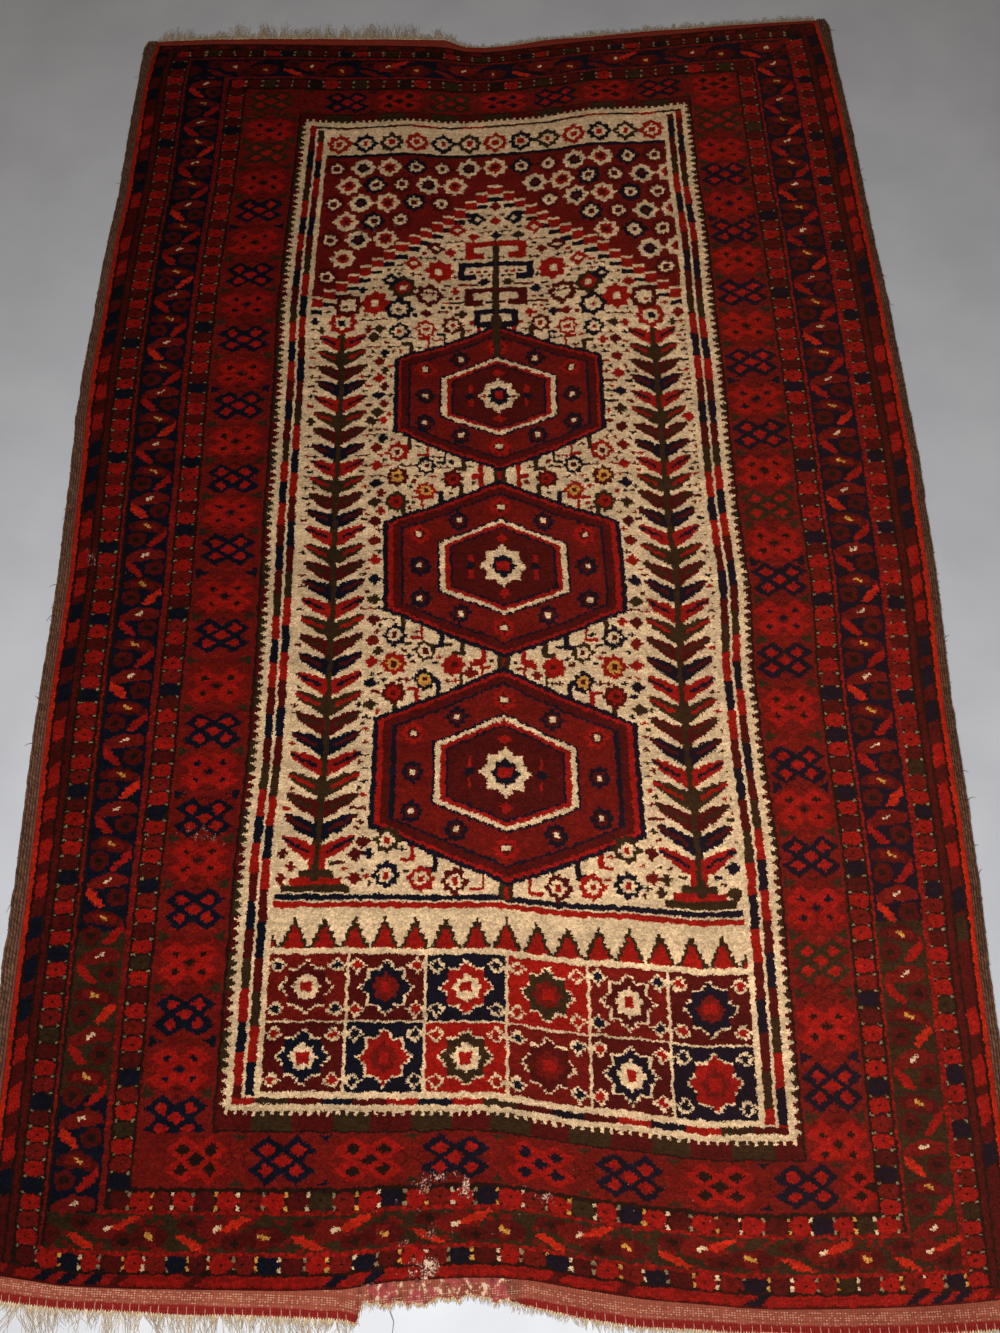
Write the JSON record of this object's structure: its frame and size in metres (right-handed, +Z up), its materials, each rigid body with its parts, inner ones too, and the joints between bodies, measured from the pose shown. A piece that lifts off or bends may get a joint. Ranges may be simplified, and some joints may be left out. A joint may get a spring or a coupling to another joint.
{
  "type": "knotted wool prayer rug lying flat",
  "caption": "Hand-knotted wool prayer rug lying flat, with corded goat-hair selvedges, flat-woven ends and uneven warp fringes.",
  "frame": {"origin": "middle of the rug's outline, on the floor under it", "axes": "+X across the rug, +Y along it to the far end, +Z up from the floor"},
  "size_m": [1.0056, 1.6645, 0.0075],
  "materials": {
    "wool_pile": "cut wool pile in brick red, bright red, blue-black, brown and ivory, worn low at the near end",
    "flatwoven_wool": "weft-faced flat weave in madder pink with a deep red outer stripe",
    "goat_hair": "coarse brown goat hair wrapped over bundled warps",
    "warp_yarn": "undyed plied wool warps, cut and frayed"
  },
  "bodies": {
    "root": {"pile_body": "wool_pile", "flatwoven_end_far": "flatwoven_wool", "flatwoven_end_near": "flatwoven_wool", "selvedge_left": "goat_hair", "selvedge_right": "goat_hair", "fringe_far": "warp_yarn", "fringe_near": "warp_yarn"}
  },
  "joints": []
}
